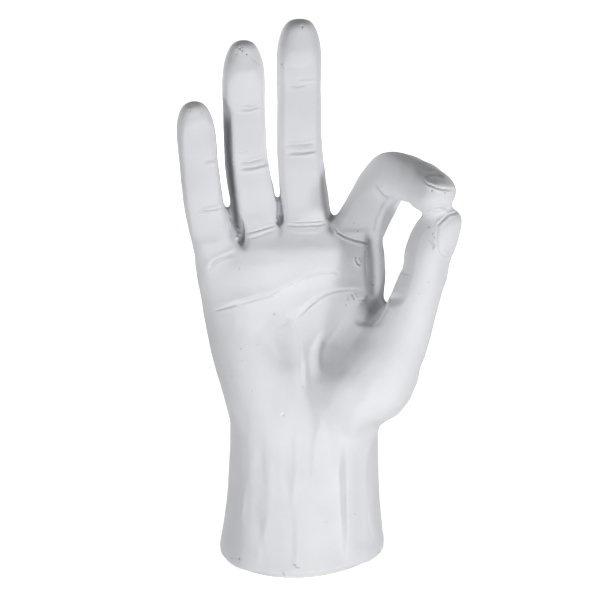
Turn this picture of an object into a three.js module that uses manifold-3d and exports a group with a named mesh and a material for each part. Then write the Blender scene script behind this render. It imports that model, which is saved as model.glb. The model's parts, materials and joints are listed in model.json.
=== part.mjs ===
// Cast hand ornament: a right hand whose index finger and thumb meet in a ring.
// Millimetres, +Z up. The palm faces -Y and the thumb is on the +X side.
// The origin is on the resting plane, under the middle of the foot.

import * as THREE from 'three';
import { mergeVertices } from 'three/addons/utils/BufferGeometryUtils.js';
import Module from 'manifold-3d';

const wasm = await Module();
wasm.setup();

// Foot and wrist
const footWidth = 95;
const footDepth = 74;
const footShift = 1.1; // middle of the foot, towards the thumb
const footForward = 5.5; // middle of the foot, towards the palm side
const footTurn = 19; // degrees that the foot's oval is turned about the upright
const wristWidth = 83;
const wristDepth = 51;
const wristShift = 2.4;
const wristForward = 1.5;
const wristHeight = 76; // foot rim to the narrowest place
const wristTurn = 5;
const flarePower = 2; // how late the wrist starts to spread into the foot

// Fingers and thumb: length from the knuckle to the tip, and width
const littleLength = 100;
const littleWidth = 21.5;
const ringLength = 115.5;
const ringWidth = 23.5;
const middleLength = 121.5;
const middleWidth = 24.5;
const indexLength = 102;
const indexWidth = 24.4;
const thumbLength = 144;
const thumbWidth = 24.5;

// Palm
const palmLength = 124; // wrist to the highest web between the fingers
const palmWidth = 103;
const palmDepth = 34;

// Relief of the palm's face: height above the plain section at the middle of each swelling
const heelPadRise = 5; // the pad below the little finger
const thumbPadRise = 13; // the pad below the thumb
const palmHollow = 6;
const fingerPadRise = 2.5; // the pads below the fingers

// Hollow, plug and felt
const wall = 8;
const ledge = 3; // step that the plug sits up against
const plugThickness = 6;
const feltThickness = 2;
const feltInset = 3; // rim left bare round the felt
const hollowTopShare = 0.6; // of the palm's length
const hollowShoulder = 1.5; // how many walls in the hollow has drawn near its top
const clearance = 0.3;

// Armature wires
const wireDiameter = 3;
const wireCover = 9; // casting left over the end of a wire
const wireReach = 12; // length that stands in the hollow

// Nails
const nailProud = 0.7;
const nailDepth = 2.4; // of the plate, from its face to its bed
const nailSpread = 56; // degrees each way from the middle of the finger's back
const cuticleCurve = 3.5;
const nailEdgeShare = 0.5; // of its rise and depth that the nail keeps at its sides

// Bridge of casting between the tips of the index finger and thumb
const bridgeWidth = 9;
const tipPadShare = 0.42; // of a finger's width: how far from its tip, and how deep, the pad is

// Facets
const bodySides = 40;
const fingerSides = 18;
const wireSides = 8;
const wireRings = 26;
const nailRows = 6;
const nailColumns = 6;
const courseSteps = 240;
const bendSpreadShare = 0.42; // half the length that a joint bends over, of the finger's width
const overrun = 5; // length by which cuts pass the faces that they open

// The palm from the wrist to the webs. Each row gives a height as a share of the palm's
// length, then the little finger edge and the thumb edge as shares of half its width, and
// the front and the back as shares of half its depth.
const palmFormShares = [
  [0.113, 0.82, 0.9, 1.4, 1.32],
  [0.234, 0.9, 0.89, 1.18, 1.24],
  [0.347, 0.965, 0.89, 1.0, 1.2],
  [0.46, 1.01, 0.89, 0.88, 1.18],
  [0.573, 1.05, 0.885, 0.82, 1.15],
  [0.677, 1.09, 0.885, 0.82, 1.12],
  [0.758, 1.11, 0.875, 0.85, 1.08],
  [0.823, 1.07, 0.86, 0.82, 1.02],
  [0.865, 0.9, 0.83, 0.66, 0.96],
  [0.905, 0.62, 0.42, 0.5, 0.84],
  [0.94, 0.42, 0.27, 0.32, 0.62],
  [0.96, 0.2, 0.12, 0.14, 0.3],
];
// Swellings of the palm's face: the places of their middles, across as a share of half the
// palm's width and up as a share of its length, then their spreads as shares of the same.
const reliefShares = [
  { rise: heelPadRise, across: -0.55, up: 0.2, wide: 0.42, high: 0.34 },
  { rise: thumbPadRise, across: 0.66, up: 0.19, wide: 0.44, high: 0.27 },
  { rise: -palmHollow, across: 0.08, up: 0.5, wide: 0.42, high: 0.24 },
  { rise: fingerPadRise, across: -0.15, up: 0.76, wide: 0.85, high: 0.1 },
];

// The skin between the thumb and the index finger. Each row gives a height as a share of
// the palm's length, then the middle across and forward, the half length towards the thumb
// and the half thickness, as shares of half the palm's width.
const webFormShares = [
  [0.02, 0.62, 0.16, 0.3, 0.2],
  [0.14, 0.74, 0.22, 0.4, 0.28],
  [0.28, 0.86, 0.24, 0.44, 0.29],
  [0.4, 0.93, 0.23, 0.42, 0.26],
  [0.49, 0.97, 0.25, 0.36, 0.18],
  [0.55, 0.98, 0.26, 0.26, 0.11],
];
const webTurn = -62; // degrees from straight across, to run from the palm to the thumb

const wristPower = 2.1; // 2 is an oval, and more is squarer
const palmPower = 2.7;
const fingerPower = 2.5;
const thumbPower = 2.2;
const wirePower = 2;

// A finger from its knuckle to its tip. The first number counts its bones: 0 is the
// knuckle, 1 the middle joint, 2 the end joint and 3 the tip. The others are shares of
// half the finger's width: to each side, to the palm side and to the back.
const fingerFormShares = [
  [-0.8, 0.5, 0.4, 0.6],
  [-0.5, 0.8, 0.6, 0.95],
  [-0.3, 0.98, 0.8, 1.15],
  [-0.12, 1.07, 0.9, 1.28],
  [0.05, 1.1, 0.95, 1.3],
  [0.18, 1.09, 1.0, 1.12],
  [0.25, 1.08, 1.0, 1.05],
  [0.28, 1.07, 0.93, 1.03],
  [0.31, 1.07, 1.0, 1.02],
  [0.45, 1.05, 1.09, 0.96],
  [0.65, 1.03, 1.1, 0.94],
  [0.83, 1.01, 1.05, 0.97],
  [0.95, 1.0, 0.97, 1.02],
  [1, 1.0, 0.9, 1.04],
  [1.05, 1.0, 0.96, 1.03],
  [1.2, 0.98, 1.01, 0.97],
  [1.45, 0.97, 1.04, 0.92],
  [1.7, 0.96, 1.02, 0.9],
  [1.93, 0.95, 0.95, 0.93],
  [2, 0.95, 0.88, 0.94],
  [2.07, 0.95, 0.94, 0.91],
  [2.25, 0.96, 1.0, 0.86],
  [2.45, 0.95, 1.0, 0.82],
  [2.62, 0.9, 0.95, 0.77],
  [2.77, 0.79, 0.82, 0.69],
  [2.88, 0.63, 0.64, 0.57],
  [2.96, 0.39, 0.39, 0.37],
];

// The thumb and the ball of the thumb. Here 0 is the joint in the palm's heel, 1 the
// knuckle at the web, 2 the thumb's only other joint and 3 the tip.
const thumbFormShares = [
  [-0.6, 0.4, 0.3, 0.3],
  [-0.22, 0.85, 0.75, 0.75],
  [-0.07, 1.1, 1.02, 1.0],
  [0.08, 1.38, 1.3, 1.12],
  [0.22, 1.64, 1.55, 1.46],
  [0.4, 1.86, 1.65, 1.85],
  [0.58, 1.92, 1.6, 1.91],
  [0.75, 1.7, 1.42, 1.79],
  [0.9, 1.45, 1.25, 1.52],
  [1, 1.3, 1.15, 1.48],
  [1.15, 1.17, 1.04, 1.4],
  [1.35, 1.07, 0.98, 1.28],
  [1.6, 1.02, 0.98, 1.14],
  [1.8, 1.0, 0.98, 1.04],
  [1.93, 1.02, 0.95, 0.98],
  [2, 1.03, 0.9, 0.98],
  [2.07, 1.04, 0.98, 0.95],
  [2.22, 1.05, 1.17, 0.79],
  [2.42, 1.03, 1.22, 0.74],
  [2.6, 0.97, 1.16, 0.7],
  [2.75, 0.87, 1.0, 0.65],
  [2.87, 0.7, 0.73, 0.57],
  [2.95, 0.46, 0.46, 0.44],
];

// Fingers, each from its knuckle. boneShares: its three bones, of its length. bends: degrees
// that the middle and the end joint bend to the palm side. sways: degrees that they bend
// towards the thumb. lean and tilt: degrees from upright towards the thumb and the palm side,
// and stemLean that of the bone in the palm. turn: degrees from facing forward to facing the
// thumb. placeShares: the knuckle's place across, back and up, of half the palm's width, of
// half its depth and of its length. nailShares: where the nail starts and ends, in bones.
const fingers = {
  little_finger: {
    length: littleLength, width: littleWidth, boneShares: [0.4, 0.27, 0.33],
    bends: [4, 3], sways: [9, 1], lean: -13, tilt: 7, stemLean: -22, turn: 0,
    placeShares: [-0.812, -0.08, 0.684], formShares: fingerFormShares, power: fingerPower,
    nailShares: [2.42, 2.93],
  },
  ring_finger: {
    length: ringLength, width: ringWidth, boneShares: [0.415, 0.27, 0.315],
    bends: [3, 2], sways: [8, 2], lean: -9.5, tilt: 3, stemLean: -9, turn: 0,
    placeShares: [-0.4, 0.18, 0.784], formShares: fingerFormShares, power: fingerPower,
    nailShares: [2.42, 2.93],
  },
  middle_finger: {
    length: middleLength, width: middleWidth, boneShares: [0.436, 0.28, 0.284],
    bends: [2, 1], sways: [6, 0], lean: -6, tilt: 2, stemLean: 3, turn: 0,
    placeShares: [0.09, 0.26, 0.815], formShares: fingerFormShares, power: fingerPower,
    nailShares: [2.42, 2.93],
  },
  index_finger: {
    length: indexLength, width: indexWidth, boneShares: [0.53, 0.255, 0.215],
    bends: [76, 7], sways: [0, 0], lean: 26.5, tilt: 5, stemLean: 13, turn: 34,
    placeShares: [0.45, 0.1, 0.75], formShares: fingerFormShares, power: fingerPower,
    nailShares: [2.36, 2.93],
  },
};
const thumb = {
  length: thumbLength, width: thumbWidth, boneShares: [0.43, 0.292, 0.278],
  bends: [9, 1], sways: [0, 0], lean: 27, tilt: 15, stemLean: 27, turn: -122,
  placeShares: [0.46, -0.5, 0], formShares: thumbFormShares, power: thumbPower,
  nailShares: [2.4, 2.94],
};

const up = new THREE.Vector3(0, 0, 1);
const towardsPalmSide = new THREE.Vector3(0, -1, 0);
const towardsThumb = new THREE.Vector3(1, 0, 0);
const degrees = THREE.MathUtils.degToRad;

// Turns a closed list of triangles into a solid that can be joined and cut.
function solidOf(geometry) {
  const bare = geometry.clone();
  bare.deleteAttribute('normal');
  bare.deleteAttribute('uv');
  const merged = mergeVertices(bare);
  return new wasm.Manifold(new wasm.Mesh({
    numProp: 3,
    vertProperties: new Float32Array(merged.attributes.position.array),
    triVerts: new Uint32Array(merged.index.array),
  }));
}

function geometryFrom(points, triangles) {
  const geometry = new THREE.BufferGeometry();
  const numbers = points.flatMap((point) => point.toArray());
  geometry.setAttribute('position', new THREE.Float32BufferAttribute(numbers, 3));
  geometry.setIndex(triangles);
  return geometry;
}

function geometryOf(solid) {
  const mesh = solid.getMesh();
  const geometry = new THREE.BufferGeometry();
  geometry.setAttribute('position', new THREE.BufferAttribute(mesh.vertProperties, mesh.numProp));
  geometry.setIndex(new THREE.BufferAttribute(mesh.triVerts, 1));
  geometry.computeVertexNormals();
  return geometry;
}

// Skins a row of rings, counterclockwise seen from the last ring, and closes both ends.
function loft(rings, startPoint, endPoint) {
  const sides = rings[0].length;
  const points = [...rings.flat(), startPoint, endPoint];
  const start = points.length - 2;
  const end = points.length - 1;
  const triangles = [];
  for (let side = 0; side < sides; side += 1) {
    const next = (side + 1) % sides;
    for (let row = 0; row + 1 < rings.length; row += 1) {
      const low = row * sides;
      const high = low + sides;
      triangles.push(low + side, low + next, high + next);
      triangles.push(low + side, high + next, high + side);
    }
    const last = (rings.length - 1) * sides;
    triangles.push(start, next, side);
    triangles.push(end, last + side, last + next);
  }
  return geometryFrom(points, triangles);
}

// One ring of an oval section, whose four reaches from its middle can all differ.
function ovalRing(middle, side, front, reach, sides, power) {
  const ring = [];
  for (let step = 0; step < sides; step += 1) {
    const angle = (2 * Math.PI * step) / sides;
    const across = Math.sign(Math.cos(angle)) * Math.abs(Math.cos(angle)) ** (2 / power);
    const depth = Math.sign(Math.sin(angle)) * Math.abs(Math.sin(angle)) ** (2 / power);
    ring.push(middle.clone()
      .addScaledVector(side, across * (across > 0 ? reach.thumbSide : reach.littleSide))
      .addScaledVector(front, -depth * (depth > 0 ? reach.back : reach.front)));
  }
  return ring;
}

const mix = THREE.MathUtils.lerp;

// Section of the wrist and palm at each height, from the foot's rim upward.
function wristSection(share) {
  const flare = (1 - share) ** flarePower;
  const halfWidth = mix(wristWidth, footWidth, flare) / 2;
  const halfDepth = mix(wristDepth, footDepth, flare) / 2;
  const shift = mix(wristShift, footShift, flare);
  const forward = mix(wristForward, footForward, flare);
  return {
    height: feltThickness + share * wristHeight,
    littleSide: halfWidth - shift,
    thumbSide: halfWidth + shift,
    front: halfDepth + forward,
    back: halfDepth - forward,
    turn: mix(wristTurn, footTurn, flare),
    power: wristPower,
  };
}

function palmSection([rise, little, thumbward, front, back]) {
  return {
    height: feltThickness + wristHeight + rise * palmLength,
    littleSide: (little * palmWidth) / 2,
    thumbSide: (thumbward * palmWidth) / 2,
    front: (front * palmDepth) / 2,
    back: (back * palmDepth) / 2,
    turn: wristTurn * Math.max(0, 1 - 2 * rise),
    power: mix(wristPower, palmPower, Math.min(1, 2 * rise)),
  };
}

// Height of the palm's face above the plain section.
function reliefAt(across, height) {
  return reliefShares.reduce((sum, swelling) => {
    const sideways = (across / (palmWidth / 2) - swelling.across) / swelling.wide;
    const upward = ((height - feltThickness - wristHeight) / palmLength - swelling.up) / swelling.high;
    return sum + swelling.rise * Math.exp(-sideways * sideways - upward * upward);
  }, 0);
}

function bodyRing(section, inset, height) {
  const turn = degrees(section.turn);
  const side = towardsThumb.clone().applyAxisAngle(up, turn);
  const front = towardsPalmSide.clone().applyAxisAngle(up, turn);
  const middle = new THREE.Vector3(0, 0, height);
  const reach = {
    littleSide: section.littleSide - inset,
    thumbSide: section.thumbSide - inset,
    front: section.front - inset,
    back: section.back - inset,
  };
  const ring = ovalRing(middle, side, front, reach, bodySides, section.power);
  for (const point of ring) {
    const facing = Math.max(0, point.dot(front) / reach.front);
    point.addScaledVector(front, facing * reliefAt(point.x, section.height));
  }
  return ring;
}

const hollowTop = feltThickness + wristHeight + hollowTopShare * palmLength;
const wristRings = 6;
const bodySections = [];
for (let step = 0; step <= wristRings; step += 1) bodySections.push(wristSection(step / wristRings));
for (const row of palmFormShares) bodySections.push(palmSection(row));

function bodySolid() {
  const rings = bodySections.map((section) => bodyRing(section, 0, section.height));
  const top = bodySections.at(-1).height;
  return solidOf(loft(
    rings,
    new THREE.Vector3(0, 0, feltThickness),
    new THREE.Vector3(0, 0, top + clearance),
  ));
}

// The hollow follows the outside, one wall in, and ends in a dome inside the palm.
function hollowSolid() {
  const bottom = feltThickness - overrun;
  const rings = [bodyRing(bodySections[0], wall, bottom)];
  const inside = bodySections.filter((section) => section.height < hollowTop - wall);
  for (const section of inside) rings.push(bodyRing(section, wall, section.height));
  const shoulder = hollowTop - wall * (hollowShoulder - 1);
  rings.push(bodyRing(inside.at(-1), wall * hollowShoulder, shoulder));
  return solidOf(loft(rings, new THREE.Vector3(0, 0, bottom), new THREE.Vector3(0, 0, hollowTop)));
}

// A flat plate of the foot's outline, from one height to another.
function footPlate(inset, from, to) {
  return loft(
    [bodyRing(bodySections[0], inset, from), bodyRing(bodySections[0], inset, to)],
    new THREE.Vector3(0, 0, from),
    new THREE.Vector3(0, 0, to),
  );
}

// The skin between the thumb and the index finger.
function webSolid() {
  const half = palmWidth / 2;
  const base = feltThickness + wristHeight;
  const side = towardsThumb.clone().applyAxisAngle(up, degrees(webTurn));
  const front = towardsPalmSide.clone().applyAxisAngle(up, degrees(webTurn));
  const place = ([rise, across, forward]) => (
    new THREE.Vector3(across * half, -forward * half, base + rise * palmLength)
  );
  const rings = webFormShares.map((row) => {
    const [length, thickness] = row.slice(3).map((share) => share * half);
    const reach = { littleSide: length, thumbSide: length, front: thickness, back: thickness };
    return ovalRing(place(row), side, front, reach, fingerSides, wristPower);
  });
  const last = webFormShares.at(-1);
  const top = place(last).addScaledVector(up, last[4] * half);
  return solidOf(loft(rings, place(webFormShares[0]), top));
}

// Course of a finger: a joint bends over a length about as long as the finger is wide.
function courseOf(finger) {
  const { length } = finger;
  const bones = finger.boneShares.map((share) => share * length);
  const joints = [bones[0], bones[0] + bones[1]];
  const spread = finger.width * bendSpreadShare;
  const shareBent = (along, joint) => (
    THREE.MathUtils.clamp((along - joint + spread) / (2 * spread), 0, 1)
  );
  const bentBy = (angles, along) => joints.reduce((sum, joint, index) => (
    sum + degrees(angles[index]) * shareBent(along, joint)
  ), 0);
  const frameAt = (along) => {
    const out = shareBent(along, 0);
    const heading = new THREE.Vector3(
      Math.tan(degrees(mix(finger.stemLean, finger.lean, out))),
      -Math.tan(degrees(finger.tilt * out)),
      1,
    ).normalize();
    const front = towardsPalmSide.clone().applyAxisAngle(up, degrees(finger.turn * out));
    front.addScaledVector(heading, -front.dot(heading)).normalize();
    const side = heading.clone().cross(front);
    const turned = (direction) => direction.clone()
      .applyAxisAngle(side, bentBy(finger.bends, along))
      .applyAxisAngle(front, -bentBy(finger.sways, along));
    return { heading: turned(heading), side: turned(side), front: turned(front) };
  };
  const [acrossShare, backShare, upShare] = finger.placeShares;
  const knuckle = new THREE.Vector3(
    (acrossShare * palmWidth) / 2,
    (backShare * palmDepth) / 2,
    feltThickness + wristHeight + upShare * palmLength,
  );
  const stem = Math.max(bones[0], knuckle.z - hollowTop + wireReach) + overrun;
  const stride = (length + stem) / courseSteps;
  const places = [];
  const walk = (from, to, step) => {
    const point = knuckle.clone();
    const walked = [];
    for (let along = from; Math.abs(to - along) > Math.abs(step) / 2; along += step) {
      point.addScaledVector(frameAt(along + step / 2).heading, step);
      walked.push(point.clone());
    }
    return walked;
  };
  const stemSteps = Math.round(stem / stride);
  places.push(...walk(0, -stemSteps * stride, -stride).reverse(), knuckle);
  places.push(...walk(0, length, stride));
  const pointAt = (along) => {
    const exact = THREE.MathUtils.clamp(along / stride + stemSteps, 0, places.length - 1);
    const whole = Math.min(places.length - 2, Math.floor(exact));
    return places[whole].clone().lerp(places[whole + 1], exact - whole);
  };
  // Turns a count of bones into a length along the course.
  const alongOf = (count) => {
    const whole = THREE.MathUtils.clamp(Math.floor(count), 0, 2);
    const start = whole > 0 ? joints[whole - 1] : 0;
    return start + (count - whole) * bones[whole];
  };
  return { length, knuckle, frameAt, pointAt, alongOf };
}

function fingerSolid(finger) {
  const course = courseOf(finger);
  const half = finger.width / 2;
  const rings = finger.formShares.map(([count, side, front, back]) => {
    const along = course.alongOf(count);
    const frame = course.frameAt(along);
    const reach = {
      littleSide: side * half, thumbSide: side * half, front: front * half, back: back * half,
    };
    const middle = course.pointAt(along);
    return ovalRing(middle, frame.side, frame.front, reach, fingerSides, finger.power);
  });
  const first = course.pointAt(course.alongOf(finger.formShares[0][0]));
  return solidOf(loft(rings, first, course.pointAt(course.length)));
}

// The shares of a finger's form at any count of bones.
function formAt(finger, count) {
  const next = finger.formShares.findIndex((row) => row[0] >= count);
  const [low, high] = [finger.formShares[next - 1], finger.formShares[next]];
  const share = (count - low[0]) / (high[0] - low[0]);
  return low.map((value, column) => mix(value, high[column], share));
}

// A nail: a plate bent round the finger's back, with a rounded root, sunk into its bed.
function nailSolid(finger) {
  const course = courseOf(finger);
  const half = finger.width / 2;
  const [start, end] = finger.nailShares;
  const backAt = (count) => formAt(finger, count)[3] * half + nailProud;
  const sideAt = (count) => formAt(finger, count)[1] * half + nailProud * nailEdgeShare;
  const face = (sink) => {
    const points = [];
    for (let row = 0; row <= nailRows; row += 1) {
      const share = row / nailRows;
      const count = mix(start, end, share);
      const straight = mix(backAt(start), backAt(end), share);
      const back = Math.max(straight, backAt(count)) - sink;
      const side = sideAt(count) - sink * nailEdgeShare;
      for (let column = 0; column <= nailColumns; column += 1) {
        const spread = (2 * column) / nailColumns - 1;
        const angle = degrees(nailSpread * spread);
        const root = course.alongOf(start) + cuticleCurve * spread * spread;
        const along = mix(root, course.alongOf(end), share);
        const frame = course.frameAt(along);
        points.push(course.pointAt(along)
          .addScaledVector(frame.side, Math.sin(angle) * side)
          .addScaledVector(frame.front, -Math.cos(angle) * back));
      }
    }
    return points;
  };
  const points = [...face(0), ...face(nailDepth)];
  const columns = nailColumns + 1;
  const under = (nailRows + 1) * columns;
  const triangles = [];
  const quad = (a, b, c, d) => triangles.push(a, b, c, a, c, d);
  for (let row = 0; row < nailRows; row += 1) {
    for (let column = 0; column < nailColumns; column += 1) {
      const corner = row * columns + column;
      quad(corner, corner + columns, corner + columns + 1, corner + 1);
      quad(under + corner, under + corner + 1, under + corner + columns + 1, under + corner + columns);
    }
    const [left, right] = [row * columns, row * columns + nailColumns];
    quad(left, under + left, under + left + columns, left + columns);
    quad(right, right + columns, under + right + columns, under + right);
  }
  for (let column = 0; column < nailColumns; column += 1) {
    const tip = nailRows * columns + column;
    quad(column, column + 1, under + column + 1, under + column);
    quad(tip, under + tip, under + tip + 1, tip + 1);
  }
  return solidOf(geometryFrom(points, triangles));
}

// A round bar along the finger's course, for the wire and for the channel that it lies in.
function barGeometry(finger, diameter, startExtra, endExtra) {
  const course = courseOf(finger);
  const from = -Math.max(0, course.knuckle.z - hollowTop) - wireReach;
  const to = course.length - wireCover;
  const last = wireRings - 1;
  const places = [];
  for (let step = 0; step <= last; step += 1) places.push(mix(from, to, step / last));
  places[0] -= startExtra;
  places[last] += endExtra;
  const radius = diameter / 2;
  const reach = { littleSide: radius, thumbSide: radius, front: radius, back: radius };
  const rings = places.map((along) => {
    const frame = course.frameAt(along);
    return ovalRing(course.pointAt(along), frame.side, frame.front, reach, wireSides, wirePower);
  });
  return loft(rings, course.pointAt(places[0]), course.pointAt(places[last]));
}

// Bridge of casting from the pad of the index finger to the tip of the thumb.
function bridgeSolid() {
  const bead = wasm.Manifold.sphere(bridgeWidth / 2, wireSides);
  const beadAt = (finger) => {
    const course = courseOf(finger);
    const along = course.length - tipPadShare * finger.width;
    const inward = tipPadShare * finger.width - bridgeWidth / 2;
    const middle = course.pointAt(along).addScaledVector(course.frameAt(along).front, inward);
    return bead.translate(middle.toArray());
  };
  return wasm.Manifold.hull([beadAt(fingers.index_finger), beadAt(thumb)]);
}

const plaster = new THREE.MeshStandardMaterial({ color: 0xe3e4e8, roughness: 0.85, metalness: 0 });
const steel = new THREE.MeshStandardMaterial({ color: 0x8b8f94, roughness: 0.4, metalness: 1 });
const felt = new THREE.MeshStandardMaterial({ color: 0xc9c8c2, roughness: 1, metalness: 0 });

function piece(name, geometry, material) {
  const mesh = new THREE.Mesh(geometry, material);
  mesh.name = name;
  return mesh;
}

function handCasting() {
  const rays = [...Object.values(fingers), thumb];
  const recessTop = feltThickness + plugThickness + clearance;
  const recess = footPlate(wall - ledge, feltThickness - overrun, recessTop);
  let hand = bodySolid().add(webSolid());
  for (const ray of rays) hand = hand.add(fingerSolid(ray)).add(nailSolid(ray));
  hand = hand.add(bridgeSolid()).subtract(hollowSolid()).subtract(solidOf(recess));
  const channel = wireDiameter + 2 * clearance;
  for (const ray of rays) {
    hand = hand.subtract(solidOf(barGeometry(ray, channel, overrun, clearance)));
  }
  return hand;
}

const sculpture = new THREE.Group();
sculpture.add(piece('hand_casting', geometryOf(handCasting()), plaster));
for (const [name, finger] of Object.entries(fingers)) {
  sculpture.add(piece(`${name}_wire`, barGeometry(finger, wireDiameter, 0, 0), steel));
}
sculpture.add(piece('thumb_wire', barGeometry(thumb, wireDiameter, 0, 0), steel));
const plugInset = wall - ledge + clearance;
const plugTop = feltThickness + plugThickness;
sculpture.add(piece('base_plug', footPlate(plugInset, feltThickness, plugTop), plaster));
sculpture.add(piece('felt_pad', footPlate(feltInset, 0, feltThickness), felt));

export default sculpture;
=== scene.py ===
import json
import math

import bmesh
import bpy
import numpy as np
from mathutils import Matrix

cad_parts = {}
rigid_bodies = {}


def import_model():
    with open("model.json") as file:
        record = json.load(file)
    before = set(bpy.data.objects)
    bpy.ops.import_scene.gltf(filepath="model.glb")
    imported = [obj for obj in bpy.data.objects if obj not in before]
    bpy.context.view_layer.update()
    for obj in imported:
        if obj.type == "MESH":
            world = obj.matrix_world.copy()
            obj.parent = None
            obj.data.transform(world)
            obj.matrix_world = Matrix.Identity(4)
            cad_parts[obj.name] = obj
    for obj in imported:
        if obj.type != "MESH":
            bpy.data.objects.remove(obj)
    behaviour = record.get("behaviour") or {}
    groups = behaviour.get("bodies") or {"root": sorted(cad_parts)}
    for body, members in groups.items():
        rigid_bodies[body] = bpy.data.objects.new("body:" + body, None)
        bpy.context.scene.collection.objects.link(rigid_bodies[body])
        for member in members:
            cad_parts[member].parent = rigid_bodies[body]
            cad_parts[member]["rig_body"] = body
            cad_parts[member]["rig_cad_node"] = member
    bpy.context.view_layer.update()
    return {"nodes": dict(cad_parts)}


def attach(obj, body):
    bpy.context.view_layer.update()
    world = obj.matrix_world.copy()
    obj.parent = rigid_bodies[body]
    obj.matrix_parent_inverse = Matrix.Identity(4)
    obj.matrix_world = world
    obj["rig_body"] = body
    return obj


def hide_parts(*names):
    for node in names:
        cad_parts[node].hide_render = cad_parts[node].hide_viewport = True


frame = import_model()

MM = 0.001

# Grain of the casting's mesh at each stage, in mm, and the most triangles it may end with
ROUGH_VOXEL = 1.5
FORM_VOXEL = 0.85
FINE_VOXEL = 0.62
MOST_TRIANGLES = 195_000


# Camera and the photograph's picture plane

FOCAL_PX = 1469.0
MIDDLE_PX = 300.0
AIM = np.array([0.0, 0.0, 147.7])
CAMERA_DISTANCE = 800.0
CAMERA_ELEVATION = math.radians(18)

FORWARD = np.array([0.0, math.cos(CAMERA_ELEVATION), -math.sin(CAMERA_ELEVATION)])
RIGHT = np.array([1.0, 0.0, 0.0])
UP = np.array([0.0, math.sin(CAMERA_ELEVATION), math.cos(CAMERA_ELEVATION)])
EYE = AIM - FORWARD * CAMERA_DISTANCE


def seen_at(points):
    """Picture place and depth of points in millimetres."""
    from_eye = points - EYE
    depth = from_eye @ FORWARD
    across = MIDDLE_PX + FOCAL_PX * (from_eye @ RIGHT) / depth
    down = MIDDLE_PX - FOCAL_PX * (from_eye @ UP) / depth
    return np.stack([across, down], 1), depth


# Small helpers

def alone(obj):
    """Makes obj the one selected and active object."""
    bpy.ops.object.select_all(action="DESELECT")
    obj.select_set(True)
    bpy.context.view_layer.objects.active = obj


def use_modifier(obj, kind, **settings):
    """Adds a modifier, sets it and applies it."""
    alone(obj)
    modifier = obj.modifiers.new(kind.lower(), kind)
    for name, value in settings.items():
        setattr(modifier, name, value)
    bpy.ops.object.modifier_apply(modifier=modifier.name)


def positions(mesh):
    flat = np.empty(len(mesh.vertices) * 3)
    mesh.vertices.foreach_get("co", flat)
    return flat.reshape(-1, 3) / MM


def set_positions(mesh, points):
    mesh.vertices.foreach_set("co", (points * MM).ravel())
    mesh.update()


def normals(mesh):
    flat = np.empty(len(mesh.vertices) * 3)
    mesh.vertex_normals.foreach_get("vector", flat)
    return flat.reshape(-1, 3)


def edges(mesh):
    flat = np.empty(len(mesh.edges) * 2, np.int64)
    mesh.edges.foreach_get("vertices", flat)
    return flat.reshape(-1, 2)


def voxel(fine):
    return (fine) * MM


def toward_neighbours(points, pairs, count):
    """How far each point is from the middle of its neighbours."""
    total = np.empty_like(points)
    for axis in range(3):
        total[:, axis] = np.bincount(
            pairs[:, 0], points[pairs[:, 1], axis], len(points)
        ) + np.bincount(pairs[:, 1], points[pairs[:, 0], axis], len(points))
    return total / count[:, None] - points


def smooth_step(value):
    value = np.clip(value, 0, 1)
    return value * value * (3 - 2 * value)


def bell(away, width):
    return np.exp(-((away / width) ** 2))


def fade_ends(share, ends):
    """0 at both ends of a line and 1 between them."""
    return smooth_step(share / ends) * smooth_step((1 - share) / ends)


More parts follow.
